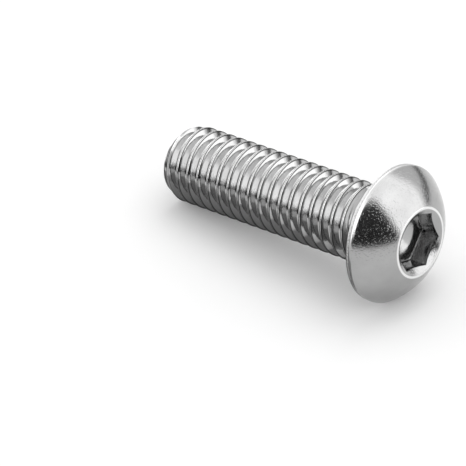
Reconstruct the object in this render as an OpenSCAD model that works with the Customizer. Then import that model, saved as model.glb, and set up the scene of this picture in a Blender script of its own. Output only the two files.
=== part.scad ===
// Machine screw: button head with a hexagon socket, threaded along its whole shank.
// It is built on its own axis, with z = 0 on the bearing face and +Z towards the tip,
// and is then laid down on the edge of its head and its last full crest.

/* [Head] */
// Diameter of the head at its rim
head_d = 10.5; // [9:0.1:14]
// Height of the head above its bearing face
head_h = 2.8; // [2.6:0.1:3.6]
// Height of the straight band round the rim
rim_h = 0.5; // [0.3:0.05:0.8]
// Edge break between the rim band and the bearing face
rim_break = 0.08; // [0.05:0.01:0.2]

/* [Hexagon socket] */
// Width of the socket across its flats
socket_s = 4; // [3:0.1:4.4]
// Depth of the flats below the top of the head
socket_depth = 1.7; // [1.4:0.1:2]
// Depth of the cone below the flats
floor_cone_h = 0.6; // [0.1:0.05:0.7]
// Gap between the foot of the flats and the cone
floor_land = 0.1; // [0.05:0.05:0.3]
// Diameter of the countersink at the mouth of the socket
mouth_d = 5.2; // [5.1:0.1:6.5]
// Full angle of the countersink, in degrees
mouth_angle = 120; // [90:5:130]
// Turn of the hexagon about the screw's axis, in degrees
socket_turn = 45; // [0:1:59]

/* [Shank] */
// Length of the screw from the bearing face to the tip
screw_l = 20; // [12:1:40]
// Radius of the fillet under the head
fillet_radius = 0.4; // [0.35:0.05:0.6]
// Length of the plain neck under the head
neck_l = 1; // [0.8:0.1:2]
// Diameter of the flat end of the tip
tip_d = 5.1; // [4:0.1:5.4]
// Angle of the tip's taper to the axis, in degrees
tip_angle = 24; // [20:1:45]

/* [Thread] */
// Nominal diameter of the thread, over its crests
thread_d = 6; // [5:0.1:6.2]
// Distance from one crest to the next
pitch = 1; // [0.7:0.05:1.2]
// Width of the flat crests, in pitches
crest_share = 0.125; // [0.08:0.005:0.2]
// Width of the rounded root between the flanks, in pitches
root_share = 0.25; // [0.15:0.01:0.3]
// Depth of the rounded root below the flanks, in pitches
root_dip = 0.072; // [0.03:0.002:0.1]
// Length over which the thread grows out of the neck
runout_l = 1.1; // [0.8:0.1:2]
// Flat steps in one turn of the thread
thread_steps = 32; // [24:4:40]

/* [Hidden] */
$fn = 96;
arc_steps = 12;

// Flanks at 30 degrees to the plane across the axis
flank_angle = 30;
flank_share = (1 - crest_share - root_share) / 2;
flank_h = flank_share * pitch / tan(flank_angle);

// Radii of the thread: crest, foot of the flanks, bottom of the rounded root, middle of the flanks
crest_r = thread_d / 2;
flank_foot_r = crest_r - flank_h;
root_r = flank_foot_r - root_dip * pitch;
pitch_r = crest_r - (pitch / 2 - crest_share * pitch) / tan(flank_angle) / 2;

// The form along one pitch, as [share of the pitch, radius]: the crest's two edges, then the root
form = [
    [-crest_share / 2, crest_r],
    [crest_share / 2, crest_r],
    [(1 - root_share) / 2, flank_foot_r],
    [1 / 2, root_r],
    [(1 + root_share) / 2, flank_foot_r]
];
form_n = len(form);

// The neck is as thick as the middle of the flanks, and the thread starts just inside it
neck_r = pitch_r;
inset = 0.04;
overlap = 0.2;
start_r = neck_r - inset;
start_z = neck_l - overlap;

// The tip tapers from the last full crest down to its flat end
tip_r = tip_d / 2;
taper_l = (crest_r - tip_r) / tan(tip_angle);
last_crest_z = screw_l - taper_l;

// The thread's first row lies below its start, and the end of its last full crest meets the floor
spare_turns = 2;
turns = ceil((screw_l - start_z) / pitch) + spare_turns;
rows_n = form_n * turns;
floor_side = 1 / 2;
first_z = last_crest_z - pitch * (ceil((last_crest_z - start_z) / pitch) + 1 + floor_side);

// Dome: one arc from the rim band to the socket's mouth, with its centre on the axis
head_r = head_d / 2;
mouth_r = mouth_d / 2;
rim_edge = [head_r, -rim_h];
mouth_edge = [mouth_r, -head_h];
dome_c = [0, (head_r ^ 2 - mouth_r ^ 2 + rim_h ^ 2 - head_h ^ 2) / (head_h - rim_h) / 2];
dome_radius = norm(rim_edge - dome_c);

// Socket: the countersink narrows to half the hexagon's width
mouth_h = (mouth_r - socket_s / 4) / tan(mouth_angle / 2);
mouth_margin = 0.5;
floor_r = socket_s / 2 - floor_land;

// The turned faces close at a seam beside the top of the screw, so that no edge of a mesh
// of 72 steps runs along the underside
mesh_step = 360 / 72;
seam_turn = mesh_step / 2;

// The screw lies on its head's edge and its last full crest, tip down
rest_tilt = atan((head_r - crest_r) / last_crest_z);

// Angle of the way from a to b, in degrees
function way_angle(a, b) = atan2(b.y - a.y, b.x - a.x);

// Points on an arc about c, from one angle to another
function arc(c, r, from, to) =
    [for (i = [0:arc_steps]) let (a = from + (to - from) * i / arc_steps) c + r * [cos(a), sin(a)]];

// Share of the full thread depth at height z
function grown(z) = min(1, max(0, (z - neck_l) / runout_l));

// Radius of row m at height z: grown from the neck, and cut by the tip's taper
function row_r(m, z) =
    min(start_r + grown(z) * (form[m % form_n][1] - start_r), tip_r + (screw_l - z) * tan(tip_angle));

// Height of row m at step i of a turn, and the rows of that step between the two ends
function row_z(m, i) = first_z + pitch * (floor(m / form_n) + form[m % form_n][0] + i / thread_steps);
function low_row(i) = max([for (m = [0:rows_n]) if (row_z(m, i) <= start_z) m]);
function high_row(i) = min([for (m = [0:rows_n]) if (row_z(m, i) >= screw_l) m]);

// One closed mesh of the threaded shank. Each row of the form winds up as a true
// right-hand helix, and is cut level at the start and at the tip.
module thread() {
    low = [for (i = [0:thread_steps - 1]) low_row(i)];
    high = [for (i = [0:thread_steps - 1]) high_row(i)];
    counts = [for (i = [0:thread_steps - 1]) high[i] - low[i] + 1];
    starts = [for (i = 0, n = 0; i < thread_steps; n = n + counts[i], i = i + 1) n];
    points = [
        for (i = [0:thread_steps - 1], m = [low[i]:high[i]])
            let (z = min(max(row_z(m, i), start_z), screw_l), r = row_r(m, z), a = 360 * i / thread_steps)
            [r * cos(a), r * sin(a), z]
    ];
    function at(i, m) = i == thread_steps
        ? at(0, m + form_n)
        : starts[i] + min(max(m, low[i]), high[i]) - low[i];
    sides = [
        for (i = [0:thread_steps - 1], m = [0:rows_n - 1])
            let (a = at(i, m), b = at(i, m + 1), c = at(i + 1, m + 1), d = at(i + 1, m))
            each [if (a != b) [a, b, c], if (c != d) [a, c, d]]
    ];
    bottom = [for (i = [0:thread_steps - 1]) at(i, 0)];
    top = [for (i = [thread_steps - 1:-1:0]) at(i, rows_n)];
    polyhedron(points = points, faces = concat(sides, [bottom, top]), convexity = 12);
}

// Section of the head, its fillet and the neck, turned about the axis
module head_and_neck() {
    rotate([0, 0, seam_turn])
        rotate_extrude()
            polygon(concat(
                [[0, neck_l], [neck_r, neck_l]],
                arc([neck_r + fillet_radius, fillet_radius], fillet_radius, 180, 270),
                [[head_r - rim_break, 0], [head_r, -rim_break]],
                arc(dome_c, dome_radius, way_angle(dome_c, rim_edge), way_angle(dome_c, mouth_edge)),
                [[0, -head_h]]
            ));
}

// Countersunk hexagon socket with a cone at its bottom
module socket() {
    translate([0, 0, -head_h]) {
        translate([0, 0, -mouth_margin])
            cylinder(
                h = mouth_h + mouth_margin,
                r1 = mouth_r + mouth_margin * tan(mouth_angle / 2),
                r2 = socket_s / 4
            );
        rotate([0, 0, socket_turn])
            translate([0, 0, -mouth_margin])
                cylinder(h = socket_depth + mouth_margin, d = socket_s / cos(30), $fn = 6);
        translate([0, 0, socket_depth])
            cylinder(h = floor_cone_h, r1 = floor_r, r2 = 0);
    }
}

module screw() {
    color([0.74, 0.74, 0.75])
        rotate([0, -90 - rest_tilt, 0]) {
            difference() {
                head_and_neck();
                socket();
            }
            thread();
        }
}

screw();
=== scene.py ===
"""The looks of a stainless machine screw: button head, hexagon socket, full rolled thread.

The screw is meshed again in fine detail on its own axis, with z = 0 on the bearing face
and +Z towards the tip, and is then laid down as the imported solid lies.
Lengths on the screw's own axis, also in its materials, are in millimetres, and all others
are in metres.
"""
import math

import bpy
import numpy as np
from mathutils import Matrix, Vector


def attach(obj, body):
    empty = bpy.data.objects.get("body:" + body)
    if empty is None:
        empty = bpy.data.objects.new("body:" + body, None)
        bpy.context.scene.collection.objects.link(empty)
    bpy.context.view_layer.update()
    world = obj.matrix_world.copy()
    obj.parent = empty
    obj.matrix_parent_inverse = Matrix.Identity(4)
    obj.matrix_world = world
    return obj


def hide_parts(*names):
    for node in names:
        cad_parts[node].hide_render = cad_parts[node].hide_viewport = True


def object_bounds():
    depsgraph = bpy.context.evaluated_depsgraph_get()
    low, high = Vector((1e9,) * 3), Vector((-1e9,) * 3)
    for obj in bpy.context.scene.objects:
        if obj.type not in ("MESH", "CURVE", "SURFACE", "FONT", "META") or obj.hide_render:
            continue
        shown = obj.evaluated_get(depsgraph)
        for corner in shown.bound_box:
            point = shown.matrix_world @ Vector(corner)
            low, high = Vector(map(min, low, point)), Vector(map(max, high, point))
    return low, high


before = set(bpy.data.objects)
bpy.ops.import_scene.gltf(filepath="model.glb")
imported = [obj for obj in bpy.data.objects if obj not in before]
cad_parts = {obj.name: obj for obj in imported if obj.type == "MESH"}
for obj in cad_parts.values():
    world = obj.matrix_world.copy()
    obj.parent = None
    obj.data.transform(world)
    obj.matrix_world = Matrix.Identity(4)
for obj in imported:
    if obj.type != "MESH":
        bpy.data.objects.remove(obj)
CAD_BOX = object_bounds()

MM = 0.001

# Head
HEAD_R = 5.25
HEAD_H = 2.8
RIM_H = 0.5
RIM_BREAK = 0.08
# How far the straight band of the rim lies inside the head's full radius
RIM_INSET = 0.03
# The bead on the rim, as (distance inside its widest ring, height above the bearing face)
RIM_BEAD = [
    (RIM_INSET, 0.24), (0.01, 0.28), (0.001, 0.34), (0.0, 0.4),
    (0.006, 0.46), (0.018, 0.5), (0.022, 0.525),
]

# Hexagon socket
SOCKET_S = 4.0
SOCKET_DEPTH = 1.7
FLOOR_CONE_H = 0.6
FLOOR_LAND = 0.1
MOUTH_R = 2.6
MOUTH_HALF_ANGLE = math.radians(60)
SOCKET_TURN = math.radians(45)
# Widths of the soft lip of the mouth, and of the soft edges at the top and the foot of the flats
MOUTH_LIP = 0.14
WALL_EDGE = 0.05
WALL_FOOT = 0.08

# Shank
SCREW_L = 20.0
FILLET = 0.4
NECK_L = 1.0
TIP_R = 2.55
TIP_ANGLE = math.radians(24)

# Thread
CREST_R = 3.0
PITCH = 1.0
RUNOUT_L = 1.1
FLANK_ANGLE = math.radians(30)
# Depth of the neck below the crests, in pitches: it is as thick as the middle of the flanks
NECK_DIP = 0.3248
NECK_R = CREST_R - NECK_DIP * PITCH
LAST_CREST_Z = SCREW_L - (CREST_R - TIP_R) / math.tan(TIP_ANGLE)
# A crest's two lips and the root, in pitches: their radii, and a lip's distance from the seam
LIP_RADIUS = 0.042
LIP_AT = 0.044
ROOT_RADIUS = 0.17

# Keeps the bead and the crests inside the box of the plain solid, whose round faces are cut
# into facets
CLEAR = 0.006

# The axis slopes down to the tip, because the head is wider than the thread
REST_TILT = math.atan((HEAD_R - CREST_R) / LAST_CREST_Z)

# Mesh columns round the axis, a multiple of six so that the hexagon's corners fall on columns
COLUMNS = 132


# Geometry

def bend(before, corner, after, steps):
    """Points of a soft corner from before to after, without its two ends."""
    before, corner, after = np.array(before), np.array(corner), np.array(after)
    shares = np.arange(1, steps) / steps
    return [
        tuple((1 - s) ** 2 * before + 2 * s * (1 - s) * corner + s ** 2 * after)
        for s in shares
    ]


def arc(centre, radius, start, end, steps):
    """Points on an arc, both ends included."""
    angles = np.linspace(start, end, steps + 1)
    return [(centre[0] + radius * math.cos(a), centre[1] + radius * math.sin(a)) for a in angles]


def dome_points():
    """The dome's section as (radius, z), from the socket's mouth to the rim's edge."""
    centre_z = (HEAD_R ** 2 - MOUTH_R ** 2 + RIM_H ** 2 - HEAD_H ** 2) / (HEAD_H - RIM_H) / 2
    radius = math.hypot(MOUTH_R, HEAD_H + centre_z)
    start = math.atan2(-HEAD_H - centre_z, MOUTH_R)
    end = math.atan2(-RIM_H - centre_z, HEAD_R)
    return arc((0.0, centre_z), radius, start, end, steps=40)


def crown_points():
    """Section of the soft lip of the socket's mouth and of the dome, down to the rim's bead."""
    dome = [p for p in dome_points() if p[0] > MOUTH_R + MOUTH_LIP]
    over_bead = RIM_BEAD[-1][1] + 0.02
    cone_slope = math.pi / 2 - MOUTH_HALF_ANGLE
    lip_start = (
        MOUTH_R - MOUTH_LIP * math.cos(cone_slope),
        -HEAD_H + MOUTH_LIP * math.sin(cone_slope),
    )
    points = [lip_start]
    points += bend(lip_start, (MOUTH_R, -HEAD_H), dome[0], steps=6)
    points += [p for p in dome if p[1] < -over_bead]
    return points


def rim_points():
    """Section of the rim's bead, its straight band and the soft edge of the bearing face."""
    band_r = HEAD_R - RIM_INSET
    band_heights = (0.2, 0.15, RIM_BREAK + 0.03)
    edge_start = (band_r, -RIM_BREAK - 0.02)
    edge_corner = (HEAD_R - RIM_INSET / 3, 0)
    points = [(HEAD_R - CLEAR - inward, -height) for inward, height in reversed(RIM_BEAD)]
    points += [(band_r, -height) for height in band_heights]
    points += bend(edge_start, edge_corner, (band_r - RIM_BREAK, 0), steps=5)
    return points


def outer_profile():
    """Section of the head's outside and the neck, from the lip of the socket to the thread's start."""
    face_r = HEAD_R - RIM_INSET - RIM_BREAK
    fillet_r = NECK_R + FILLET
    points = crown_points() + rim_points()
    points += [(r, 0.0) for r in np.linspace(face_r, fillet_r, 8)]
    points += arc((fillet_r, FILLET), FILLET, -math.pi / 2, -math.pi, steps=8)[1:]
    points += [(NECK_R, z) for z in np.linspace(FILLET, NECK_L, 5)[1:]]
    return points


def hexagon_radius(angles):
    """Distance from the axis to the socket's flats at each angle."""
    from_corner = np.mod(angles - SOCKET_TURN, math.pi / 3)
    return SOCKET_S / 2 / np.cos(from_corner - math.pi / 6)


def socket_rows(angles):
    """Rows of (radius, z) from the bottom of the socket out to the lip of its mouth."""
    wall = hexagon_radius(angles)
    ones = np.ones_like(wall)
    floor_z = -HEAD_H + SOCKET_DEPTH
    cone_foot_r = SOCKET_S / 2 - FLOOR_LAND
    slope = 1 / math.tan(MOUTH_HALF_ANGLE)
    wall_top = -HEAD_H + (MOUTH_R - wall) * slope
    wall_h = wall_top + WALL_EDGE - floor_z + WALL_FOOT
    # Where the middle of a soft edge lies between its corner and its end
    foot_bulge = 0.3
    edge_bulge = 0.25
    rows = []
    for share in (0.15, 0.4, 0.7, 1.0):
        rows.append((share * cone_foot_r * ones, (floor_z + (1 - share) * FLOOR_CONE_H) * ones))
    rows.append((wall - WALL_FOOT, floor_z * ones))
    rows.append((wall - foot_bulge * WALL_FOOT, (floor_z - foot_bulge * WALL_FOOT) * ones))
    for share in (0, 0.25, 0.5, 0.75):
        rows.append((wall, floor_z - WALL_FOOT + share * wall_h))
    rows.append((wall, wall_top + WALL_EDGE))
    rows.append((wall + edge_bulge * WALL_EDGE, wall_top + edge_bulge * WALL_EDGE * (1 - slope)))
    rows.append((wall + WALL_EDGE, wall_top - WALL_EDGE * slope))
    for share in (0.3, 0.6):
        radius = wall + WALL_EDGE + share * (MOUTH_R - MOUTH_LIP - wall - WALL_EDGE)
        rows.append((radius, -HEAD_H + (MOUTH_R - radius) * slope))
    return rows


def thread_form():
    """One pitch of the rolled thread as (share of the pitch, radius), from the crest's seam on.

    The crest has two round lips with the seam between them that rolling leaves,
    the flanks are straight at 30 degrees, and the root is an arc tangent to both.
    """
    seam = [
        (0.0, CREST_R - 0.02 * PITCH),
        (0.012, CREST_R - 0.015 * PITCH),
        (0.028, CREST_R - 0.003 * PITCH),
    ]
    lip = []
    for turn in np.radians([-15, 0, 15, 30, 45, 60]):
        drop = LIP_RADIUS * (1 - math.cos(turn)) * PITCH
        lip.append((LIP_AT + LIP_RADIUS * math.sin(turn), CREST_R - drop))
    # The root's arc turns by 60 degrees to meet the flank
    root_turn = math.pi / 3
    lip_end, lip_end_r = lip[-1]
    foot = 0.5 - ROOT_RADIUS * math.sin(root_turn)
    foot_r = lip_end_r - (foot - lip_end) * PITCH / math.tan(FLANK_ANGLE)
    root_bottom = foot_r - ROOT_RADIUS * (1 - math.cos(root_turn)) * PITCH
    flank = []
    for share in (0.06, 0.5, 0.94):
        flank.append((lip_end + share * (foot - lip_end), lip_end_r + share * (foot_r - lip_end_r)))
    root = []
    for turn in np.radians([60, 48, 36, 24, 12, 0]):
        drop = ROOT_RADIUS * (1 - math.cos(turn)) * PITCH
        root.append((0.5 - ROOT_RADIUS * math.sin(turn), root_bottom + drop))
    half = seam + lip + flank + root
    other = [(1.0 - at, radius) for at, radius in reversed(half[1:-1])]
    return half + other


def thread_rows(end_z):
    """The thread's rows: how many lie in a pitch, and the height at angle 0 and radius of each.

    They reach past both the neck's end and end_z at every angle.
    """
    form = thread_form()
    shares = np.array([at for at, _ in form])
    radii = np.array([radius for _, radius in form])
    turns = math.ceil((end_z - NECK_L) / PITCH) + 2
    # A crest crosses the underside where the screw rests on it
    first_z = LAST_CREST_Z - PITCH * (turns - 1 + 1 / 2)
    row_turn = np.repeat(np.arange(turns + 2), len(form))
    row_z = first_z + PITCH * (row_turn + np.tile(shares, turns + 2))
    return len(form), row_z, np.tile(radii, turns + 2)


def head_mesh_data(angles):
    """Vertices and faces of the socket, head and neck, and the vertices of the neck's last ring."""
    ones = np.ones(COLUMNS)
    rows = socket_rows(angles)
    rows += [(r * ones, z * ones) for r, z in outer_profile()]
    vertices = [(0.0, 0.0, -HEAD_H + SOCKET_DEPTH + FLOOR_CONE_H)]
    for r, z in rows:
        vertices += list(zip(r * np.cos(angles), r * np.sin(angles), z))
    rings = 1 + np.arange(len(rows) * COLUMNS).reshape(len(rows), COLUMNS)
    faces = []
    for column in range(COLUMNS):
        beside = (column + 1) % COLUMNS
        faces.append((0, rings[0][beside], rings[0][column]))
        for low, high in zip(rings, rings[1:]):
            faces.append((low[column], low[beside], high[beside], high[column]))
    return vertices, faces, rings[-1]


def thread_column(angle, row_z, row_radius, end_z, neck_vertex, vertices):
    """Adds one column of the thread to the vertices, and gives the vertex of each of its rows.

    Rows below the neck's end meet in the neck's vertex, and rows past end_z meet in one vertex.
    """
    z = row_z + PITCH * angle / (2 * math.pi)
    grown = np.clip((z - NECK_L) / RUNOUT_L, 0, 1)
    grown = grown * grown * (3 - 2 * grown)
    radius = NECK_R + grown * (row_radius - CLEAR - NECK_R)
    cosine, sine = math.cos(angle), math.sin(angle)
    below = z <= NECK_L
    above = z >= end_z
    end_row = np.flatnonzero(above)[0]
    column = np.empty(len(z), dtype=int)
    column[below] = neck_vertex
    for row in np.flatnonzero(~below & ~above):
        column[row] = len(vertices)
        vertices.append((radius[row] * cosine, radius[row] * sine, z[row]))
    column[above] = len(vertices)
    vertices.append((radius[end_row] * cosine, radius[end_row] * sine, end_z))
    return column


def add_thread(vertices, faces, angles, neck_ring, end_z):
    """Winds the thread on from the neck's last ring, along a right-hand helix."""
    count, row_z, row_radius = thread_rows(end_z)
    columns = [
        thread_column(angle, row_z, row_radius, end_z, neck_vertex, vertices)
        for angle, neck_vertex in zip(angles, neck_ring)
    ]
    # After a whole turn each row meets the row one pitch further on
    columns.append(np.concatenate([columns[0][count:], np.full(count, columns[0][-1])]))
    for here, there in zip(columns, columns[1:]):
        for row in range(len(row_z) - 1):
            ring = [here[row], there[row], there[row + 1], here[row + 1]]
            face = [v for k, v in enumerate(ring) if v != ring[k - 1]]
            if len(face) > 2:
                faces.append(tuple(face))
    faces.append(tuple(column[-1] for column in columns[:-1]))


def screw_mesh_data(end_z):
    """Vertices (mm, on the screw's own axis) and faces of the whole screw up to end_z."""
    angles = SOCKET_TURN + 2 * math.pi * np.arange(COLUMNS) / COLUMNS
    vertices, faces, neck_ring = head_mesh_data(angles)
    add_thread(vertices, faces, angles, neck_ring, end_z)
    return vertices, faces


def lay_down(vertices):
    """Turns points from the screw's own axis to the way it lies, in metres."""
    x, y, z = np.array(vertices).T * MM
    sine, cosine = math.sin(REST_TILT), math.cos(REST_TILT)
    return np.column_stack([-sine * x - cosine * z, y, cosine * x - sine * z])


def mesh_object(name, vertices, faces):
    mesh = bpy.data.meshes.new(name)
    mesh.from_pydata([tuple(v) for v in vertices], [], faces)
    mesh.validate()
    mesh.update()
    piece = bpy.data.objects.new(name, mesh)
    bpy.context.scene.collection.objects.link(piece)
    return piece


def tip_envelope():
    """A lathe that is wide everywhere but at the tip, where it has the chamfer and the flat end."""
    wide = 7.0
    start_z = -6.0
    soft = 0.05
    cone_start_z = SCREW_L - (wide - TIP_R) / math.tan(TIP_ANGLE)
    on_cone = (TIP_R + soft * math.sin(TIP_ANGLE), SCREW_L - soft * math.cos(TIP_ANGLE))
    on_end = (TIP_R - soft, SCREW_L)
    corner = bend(on_cone, (TIP_R, SCREW_L), on_end, steps=4)
    section = [(wide, start_z), (wide, cone_start_z), on_cone] + corner + [on_end]
    angles = SOCKET_TURN + 2 * math.pi * (np.arange(COLUMNS) + 0.5) / COLUMNS
    vertices = [(r * math.cos(a), r * math.sin(a), z) for r, z in section for a in angles]
    faces = [tuple(range(COLUMNS - 1, -1, -1))]
    for row in range(len(section) - 1):
        for column in range(COLUMNS):
            beside = (column + 1) % COLUMNS
            low, high = row * COLUMNS, (row + 1) * COLUMNS
            faces.append((low + column, low + beside, high + beside, high + column))
    top = (len(section) - 1) * COLUMNS
    faces.append(tuple(range(top, top + COLUMNS)))
    return mesh_object("tip_envelope", lay_down(vertices), faces)


def make_screw():
    """The detailed screw: its mesh runs past the tip, and is cut back to the chamfered end."""
    past_tip = 0.4
    sharp_angle = math.radians(32)
    vertices, faces = screw_mesh_data(SCREW_L + past_tip)
    piece = mesh_object("screw_body", lay_down(vertices), faces)
    envelope = tip_envelope()
    cut = piece.modifiers.new("tip", "BOOLEAN")
    cut.operation = "INTERSECT"
    cut.solver = "EXACT"
    cut.object = envelope
    graph = bpy.context.evaluated_depsgraph_get()
    finished = bpy.data.meshes.new_from_object(piece.evaluated_get(graph))
    piece.modifiers.clear()
    piece.data = finished
    bpy.data.objects.remove(envelope)
    finished.shade_smooth()
    finished.set_sharp_from_angle(angle=sharp_angle)
    return piece


# Materials

# Greys of the steel: between two tones of satin, painted highlights on lips, and painted shade in the
# thread's dark lines
DULL_GREY = 0.39
CLEAN_GREY = 0.44
HIGHLIGHT_GREY = 0.8
PAINTED_SHADE_GREY = 0.03

# Where the edges of the thread's painted bands fade, as distances from a crest's middle in
# pitches: both edges of a lip's painted highlight, the end of the painted dark line beside it,
# and the start of the painted shade in the root
HIGHLIGHT_FROM = (0.028, 0.04)
HIGHLIGHT_TO = (0.06, 0.07)
CREST_LINE_TO = (0.095, 0.13)
ROOT_LINE_FROM = (0.41, 0.46)

# Most of a noise's values lie between these two
NOISE_RANGE = (0.3, 0.7)
# How much smoother or rougher than the rest a patch of the steel can be
ROUGHNESS_RANGE = (-0.02, 0.04)


class Nodes:
    """Short calls for building a shader. A value is a constant or another node's output."""

    def __init__(self, tree):
        self.tree = tree

    def add(self, kind, **inputs):
        node = self.tree.nodes.new(kind)
        for name, value in inputs.items():
            self.give(node.inputs[name.replace("_", " ")], value)
        return node

    def give(self, socket, value):
        if isinstance(value, bpy.types.NodeSocket):
            self.tree.links.new(value, socket)
        else:
            socket.default_value = value

    def math(self, operation, first, second=0.0):
        node = self.tree.nodes.new("ShaderNodeMath")
        node.operation = operation
        self.give(node.inputs[0], first)
        self.give(node.inputs[1], second)
        return node.outputs[0]

    def product(self, first, second):
        return self.math("MULTIPLY", first, second)

    def span(self, value, low, high, to_low, to_high):
        """Goes from to_low to to_high while the value goes from low to high, and no further."""
        node = self.tree.nodes.new("ShaderNodeMapRange")
        self.give(node.inputs["Value"], value)
        node.inputs["From Min"].default_value = low
        node.inputs["From Max"].default_value = high
        node.inputs["To Min"].default_value = to_low
        node.inputs["To Max"].default_value = to_high
        return node.outputs["Result"]

    def fade_in(self, value, low, high):
        return self.span(value, low, high, 0.0, 1.0)

    def fade_out(self, value, low, high):
        return self.span(value, low, high, 1.0, 0.0)

    def mix(self, share, first, second):
        """Mixes two colours."""
        node = self.tree.nodes.new("ShaderNodeMix")
        node.data_type = "RGBA"
        for place, value in ((0, share), (6, first), (7, second)):
            self.give(node.inputs[place], value)
        return node.outputs[2]

    def noise(self, vector, scale, detail, roughness):
        node = self.tree.nodes.new("ShaderNodeTexNoise")
        self.give(node.inputs["Vector"], vector)
        node.inputs["Scale"].default_value = scale
        node.inputs["Detail"].default_value = detail
        node.inputs["Roughness"].default_value = roughness
        return node.outputs["Fac"]


def grey(level):
    return (level, level, level, 1)


def own_axis_coordinates(nodes):
    """Position in millimetres on the screw's own axis, the radius from it, and the way along it."""
    place = nodes.add("ShaderNodeTexCoord").outputs["Object"]
    turn = nodes.add("ShaderNodeVectorRotate")
    turn.rotation_type = "Y_AXIS"
    turn.inputs["Angle"].default_value = math.pi / 2 + REST_TILT
    nodes.give(turn.inputs["Vector"], place)
    scale = nodes.tree.nodes.new("ShaderNodeVectorMath")
    scale.operation = "SCALE"
    scale.inputs["Scale"].default_value = 1 / MM
    nodes.give(scale.inputs[0], turn.outputs["Vector"])
    parts = nodes.add("ShaderNodeSeparateXYZ", Vector=scale.outputs["Vector"])
    x, y, z = parts.outputs["X"], parts.outputs["Y"], parts.outputs["Z"]
    squares = nodes.math("ADD", nodes.product(x, x), nodes.product(y, y))
    return scale.outputs["Vector"], nodes.math("SQRT", squares), z


def from_crest(nodes, place, along):
    """Distance from the middle of the nearest crest of the thread, in pitches."""
    parts = nodes.add("ShaderNodeSeparateXYZ", Vector=place)
    angle = nodes.math("ARCTAN2", parts.outputs["Y"], parts.outputs["X"])
    pitches = nodes.math("DIVIDE", nodes.math("SUBTRACT", along, LAST_CREST_Z), PITCH)
    turns = nodes.math("SUBTRACT", pitches, nodes.math("DIVIDE", angle, 2 * math.pi))
    return nodes.math("ABSOLUTE", nodes.math("SUBTRACT", nodes.math("FRACT", turns), 0.5))


def on_thread(nodes, along):
    """1 on the full thread, and 0 on the neck and on the flat end of the tip."""
    after_neck = nodes.fade_in(along, NECK_L + 0.4, NECK_L + 0.9)
    before_end = nodes.fade_out(along, SCREW_L - 0.04, SCREW_L - 0.02)
    return nodes.product(after_neck, before_end)


# Each mask from here to none takes the same inputs, whether it needs them all or not

def crest_lip_highlight(nodes, place, radius, along):
    """1 on the two lips of a crest, where a highlight is painted into the colour."""
    share = from_crest(nodes, place, along)
    lips = nodes.product(nodes.fade_in(share, *HIGHLIGHT_FROM), nodes.fade_out(share, *HIGHLIGHT_TO))
    return nodes.product(lips, on_thread(nodes, along))


def crest_and_root_painted_shade(nodes, place, radius, along):
    """Where shade is painted: 1 in a crest's seam, in the dark line below each lip and in the groove's
    bottom.
    """
    share = from_crest(nodes, place, along)
    near = nodes.fade_out(share, *CREST_LINE_TO)
    deep = nodes.fade_in(share, *ROOT_LINE_FROM)
    return nodes.product(nodes.math("ADD", near, deep), on_thread(nodes, along))


def mouth_lip_highlight(nodes, place, radius, along):
    """1 on the lip round the mouth of the socket, where a highlight is painted into the colour."""
    middle_r = MOUTH_R + 0.03
    lowest = -HEAD_H + 0.2
    sideways = nodes.math("ABSOLUTE", nodes.math("SUBTRACT", radius, middle_r))
    near = nodes.fade_out(sideways, 0.07, 0.11)
    return nodes.product(near, nodes.math("LESS_THAN", along, lowest))


def rim_band(nodes, place, radius, along):
    """1 on the coarse band between the rim's bead and its edge at the bearing face."""
    middle_h = 0.17
    inner_r = HEAD_R - 0.25
    off_middle = nodes.math("ABSOLUTE", nodes.math("ADD", along, middle_h))
    near = nodes.fade_out(off_middle, 0.06, 0.08)
    return nodes.product(near, nodes.math("GREATER_THAN", radius, inner_r))


def none(nodes, place, radius, along):
    return 0.0


def steel_relief(nodes, place, coarse, grain_size, grain_depth, pit_depth):
    """Height of the fine grain in millimetres, less its pits, with a deeper grain where coarse is 1."""
    coarse_depth = 0.1
    pit_spacing = grain_size / 0.75
    grain = nodes.noise(place, scale=1 / grain_size, detail=2.0, roughness=0.55)
    specks = nodes.noise(place, scale=1 / pit_spacing, detail=1.0, roughness=0.4)
    pits = nodes.fade_in(specks, 0.6, 0.68)
    coarse_grain = nodes.product(coarse, nodes.product(grain, coarse_depth))
    fine_grain = nodes.product(grain, grain_depth)
    pitted = nodes.math("SUBTRACT", fine_grain, nodes.product(pits, pit_depth))
    return nodes.math("ADD", pitted, coarse_grain)


def stainless(name, grain_size, grain_depth, pit_depth, roughness, painted_highlight, painted_shade=none, shade=1.0):
    """Satin stainless steel with a fine random grain and tiny pits, with painted highlights and painted
    shade in its colour.
    """
    material = bpy.data.materials.new(name)
    material.use_nodes = True
    nodes = Nodes(material.node_tree)
    shader = material.node_tree.nodes["Principled BSDF"]
    shader.inputs["Metallic"].default_value = 1.0
    place, radius, along = own_axis_coordinates(nodes)
    cloud = nodes.fade_in(nodes.noise(place, scale=0.6, detail=3.0, roughness=0.5), *NOISE_RANGE)
    satin = nodes.mix(cloud, grey(DULL_GREY * shade), grey(CLEAN_GREY * shade))
    # Painted shade: near-black lines along the crests and at the bottom of the grooves
    shaded = nodes.mix(painted_shade(nodes, place, radius, along), satin, grey(PAINTED_SHADE_GREY))
    # Painted highlight: the lips of the crests and of the socket's mouth are made near-white
    highlighted = nodes.mix(painted_highlight(nodes, place, radius, along), shaded, grey(HIGHLIGHT_GREY))
    nodes.give(shader.inputs["Base Color"], highlighted)
    patches = nodes.noise(place, scale=2.2, detail=4.0, roughness=0.6)
    uneven = nodes.span(patches, *NOISE_RANGE, *ROUGHNESS_RANGE)
    nodes.give(shader.inputs["Roughness"], nodes.math("ADD", uneven, roughness))
    coarse = rim_band(nodes, place, radius, along)
    relief = steel_relief(nodes, place, coarse, grain_size, grain_depth, pit_depth)
    bump = nodes.add("ShaderNodeBump", Height=relief)
    bump.inputs["Strength"].default_value = 1.0
    bump.inputs["Distance"].default_value = MM
    nodes.give(shader.inputs["Normal"], bump.outputs["Normal"])
    return material


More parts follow.
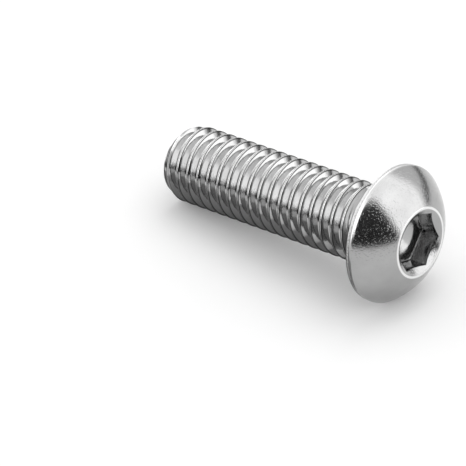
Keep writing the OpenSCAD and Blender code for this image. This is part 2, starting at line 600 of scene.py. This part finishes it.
def dress_screw(piece):
    """The head is grained by tumbling, and the rolled thread is smoother."""
    # Painted light and shade: the thread's greys are 15 percent brighter and the head's 8 percent darker
    # than the socket's
    head = stainless(
        "stainless_head", grain_size=0.1, grain_depth=0.006, pit_depth=0.0045, roughness=0.15,
        painted_highlight=mouth_lip_highlight, shade=0.92,
    )
    thread = stainless(
        "stainless_thread", grain_size=0.2, grain_depth=0.004, pit_depth=0.0, roughness=0.1,
        painted_highlight=crest_lip_highlight, painted_shade=crest_and_root_painted_shade, shade=1.15,
    )
    socket = stainless(
        "stainless_socket", grain_size=0.2, grain_depth=0.004, pit_depth=0.0, roughness=0.12,
        painted_highlight=none,
    )
    mesh = piece.data
    mesh.materials.clear()
    for material in (head, thread, socket):
        mesh.materials.append(material)
    thread_from = 0.02
    corner_r = SOCKET_S / math.sqrt(3)
    floor_r = SOCKET_S / 2 - 0.05
    # The countersink faces away from the tip by more than this, and the flats by less
    least_facing = -0.45
    tipward = Vector((-math.cos(REST_TILT), 0, -math.sin(REST_TILT)))
    for face in mesh.polygons:
        along = face.center.dot(tipward) / MM
        from_axis = (face.center / MM - along * tipward).length
        on_flats = from_axis < corner_r and face.normal.dot(tipward) > least_facing
        face.material_index = 1 if along > thread_from else 0
        if along < 0 and (on_flats or from_axis < floor_r):
            face.material_index = 2


# Stage

def ray_share(nodes):
    """1 for rays from the camera and for the reflections and refractions that should see the backdrop."""
    path = nodes.add("ShaderNodeLightPath")
    seen = nodes.math("MAXIMUM", path.outputs["Is Camera Ray"], path.outputs["Is Glossy Ray"])
    return nodes.math("MAXIMUM", seen, path.outputs["Is Transmission Ray"])


def make_world():
    """White all round, a little dimmer where it lights the paper."""
    ambient = 0.94
    world = bpy.data.worlds.new("studio")
    bpy.context.scene.world = world
    world.use_nodes = True
    nodes = Nodes(world.node_tree)
    background = world.node_tree.nodes["Background"]
    background.inputs["Color"].default_value = grey(1)
    nodes.give(background.inputs["Strength"], nodes.span(ray_share(nodes), 0.0, 1.0, ambient, 1.0))


def make_floor(z):
    """White paper that keeps the screw's shadow."""
    half = 3.0
    whiteness = 0.9
    glow_strength = 0.1
    corners = [(-half, -half, z), (half, -half, z), (half, half, z), (-half, half, z)]
    floor = mesh_object("floor", corners, [(0, 1, 2, 3)])
    material = bpy.data.materials.new("white_paper")
    material.use_nodes = True
    nodes = Nodes(material.node_tree)
    tree = material.node_tree
    tree.nodes.clear()
    paper = nodes.add("ShaderNodeBsdfDiffuse")
    paper.inputs["Color"].default_value = grey(whiteness)
    glow = nodes.add("ShaderNodeEmission")
    glow.inputs["Color"].default_value = grey(1)
    nodes.give(glow.inputs["Strength"], nodes.product(ray_share(nodes), glow_strength))
    both = nodes.add("ShaderNodeAddShader")
    tree.links.new(paper.outputs[0], both.inputs[0])
    tree.links.new(glow.outputs[0], both.inputs[1])
    output = nodes.add("ShaderNodeOutputMaterial")
    tree.links.new(both.outputs[0], output.inputs["Surface"])
    floor.data.materials.append(material)


# Angles round the stage are counted from the way the camera looks, clockwise from above
VIEW_AZIMUTH = math.radians(40.51)


def stage_direction(turn, rise):
    """Unit vector at a turn to the right of the camera's way, and at a rise, both in degrees."""
    heading = VIEW_AZIMUTH - math.radians(turn)
    level = math.cos(math.radians(rise))
    return Vector((-math.sin(heading) * level, math.cos(heading) * level, math.sin(math.radians(rise))))


def card_mesh(name, distance, corners, soft):
    """A curved card that faces the screw, with its cover, from 0 to 1, kept at each vertex."""
    across, up = 48, 24
    lower_left, lower_right, upper_right, upper_left = np.array(corners, dtype=float)
    vertices, cover = [], []
    for v in np.linspace(0, 1, up + 1):
        left = lower_left + v * (upper_left - lower_left)
        right = lower_right + v * (upper_right - lower_right)
        for u in np.linspace(0, 1, across + 1):
            turn, rise = left + u * (right - left)
            vertices.append(stage_direction(turn, rise) * distance)
            ways = (turn - left[0], rise - lower_left[1], right[0] - turn, upper_left[1] - rise)
            shares = [min(1.0, way / fade) if fade else 1.0 for way, fade in zip(ways, soft)]
            cover.append(math.prod(shares))
    faces = []
    for row in range(up):
        for column in range(across):
            start = row * (across + 1) + column
            faces.append((start, start + 1, start + across + 2, start + across + 1))
    panel = mesh_object(name, vertices, faces)
    cover_layer = panel.data.attributes.new("cover", "FLOAT", "POINT")
    cover_layer.data.foreach_set("value", cover)
    return panel


def card_material(name, glow):
    """Even light where the card covers, and clear where it doesn't.

    It gives no light to rays that the paper has scattered.
    """
    material = bpy.data.materials.new(name)
    material.use_nodes = True
    nodes = Nodes(material.node_tree)
    tree = material.node_tree
    tree.nodes.clear()
    clear = nodes.add("ShaderNodeBsdfTransparent")
    path = nodes.add("ShaderNodeLightPath")
    direct = nodes.math("LESS_THAN", path.outputs["Diffuse Depth"], 0.5)
    light = nodes.add("ShaderNodeEmission", Strength=nodes.product(direct, glow))
    attribute = nodes.add("ShaderNodeAttribute")
    attribute.attribute_name = "cover"
    mix = nodes.add("ShaderNodeMixShader", Fac=attribute.outputs["Fac"])
    tree.links.new(clear.outputs[0], mix.inputs[1])
    tree.links.new(light.outputs[0], mix.inputs[2])
    output = nodes.add("ShaderNodeOutputMaterial")
    tree.links.new(mix.outputs[0], output.inputs["Surface"])
    return material


def show_in_reflections_only(piece):
    piece.visible_camera = False
    piece.visible_diffuse = False
    piece.visible_shadow = False
    piece.visible_transmission = False


def card(name, distance, corners, glow, soft):
    """A studio card seen only in reflections.

    Its corners are (turn, rise) in degrees, from the lower left counterclockwise, and its left,
    lower, right and upper edges fade over soft degrees.
    """
    panel = card_mesh(name, distance, corners, soft)
    panel.data.materials.append(card_material(name, glow))
    show_in_reflections_only(panel)


def floor_shadow_sheet(name, near, far, shade):
    """A dark sheet on the floor beside the thread, on the camera's left, seen only in the steel as painted
    shadow.
    """
    low = CAD_BOX[0].z + 0.0002
    tip, neck = -0.024, -0.001
    corners = [(tip, -far, low), (neck, -far, low), (neck, -near, low), (tip, -near, low)]
    sheet = mesh_object(name, corners, [(0, 1, 2, 3)])
    material = bpy.data.materials.new(name)
    material.use_nodes = True
    shader = material.node_tree.nodes["Principled BSDF"]
    shader.inputs["Base Color"].default_value = grey(shade)
    shader.inputs["Roughness"].default_value = 0.9
    sheet.data.materials.append(material)
    show_in_reflections_only(sheet)


def make_cards():
    """White and dark cards round the screw, as in a small light tent with an open front."""
    card("front_flag", 0.50, [(122, -3), (214, -3), (214, 72), (141, 70)], glow=0.03, soft=(7, 1, 4, 16))
    card("low_flag", 0.51, [(180, -3), (248, -3), (248, 26), (180, 26)], glow=0.04, soft=(1, 1, 6, 18))
    card("horizon_strip", 0.52, [(22, -6), (80, -6), (80, 13), (22, 13)], glow=0.12, soft=(10, 1, 18, 8))
    card("right_box", 0.54, [(64, -3), (140, -3), (150, 68), (50, 68)], glow=2.2, soft=(14, 1, 3, 12))
    card("left_box", 0.56, [(200, -3), (275, -3), (275, 64), (200, 64)], glow=3.2, soft=(1, 1, 14, 14))
    card("left_back_box", 0.58, [(-100, -3), (20, -3), (20, 60), (-100, 60)], glow=2.8, soft=(4, 1, 30, 14))
    card("top_box", 0.60, [(-180, 44), (180, 44), (180, 90), (-180, 90)], glow=2.0, soft=(0, 14, 0, 0))
    # Painted shadow: dark sheets that the thread reflects in place of the shaded floor beside it
    floor_shadow_sheet("near_shadow_sheet", near=0.0, far=0.0045, shade=0.42)
    floor_shadow_sheet("far_shadow_sheet", near=0.0045, far=0.016, shade=0.26)


def make_lamp(name, turn, rise, distance, size, power):
    """A soft area lamp aimed at the screw, which the metal doesn't mirror."""
    data = bpy.data.lights.new(name, "AREA")
    data.shape = "DISK"
    data.size = size
    data.energy = power
    lamp = bpy.data.objects.new(name, data)
    lamp.location = stage_direction(turn, rise) * distance
    lamp.rotation_mode = "QUATERNION"
    lamp.rotation_quaternion = lamp.location.to_track_quat("Z", "Y")
    lamp.visible_glossy = False
    bpy.context.scene.collection.objects.link(lamp)


# Camera

# Where the camera stands from the bearing face, the way it looks and its lens, fitted to the
# photograph
CAMERA_PLACE = Vector((141.5, -183.34, 162.09)) * MM
CAMERA_WAY = Vector((-0.53194, 0.62255, -0.574))
IMAGE_SIDE = 466
FOCAL_PIXELS = 3870.9


def make_camera():
    data = bpy.data.cameras.new("camera")
    data.sensor_width = 36.0
    data.lens = data.sensor_width * FOCAL_PIXELS / IMAGE_SIDE
    data.clip_start = 0.01
    data.clip_end = 20.0
    camera = bpy.data.objects.new("camera", data)
    camera.location = CAMERA_PLACE
    camera.rotation_mode = "QUATERNION"
    camera.rotation_quaternion = CAMERA_WAY.to_track_quat("-Z", "Y")
    bpy.context.scene.collection.objects.link(camera)
    bpy.context.scene.camera = camera


bpy.context.scene.view_settings.view_transform = "Standard"
make_camera()
screw = make_screw()
dress_screw(screw)
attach(screw, "root")
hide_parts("screw")
make_world()
make_floor(CAD_BOX[0].z)
make_cards()
make_lamp("key", turn=40, rise=66, distance=0.5, size=0.4, power=0.45)
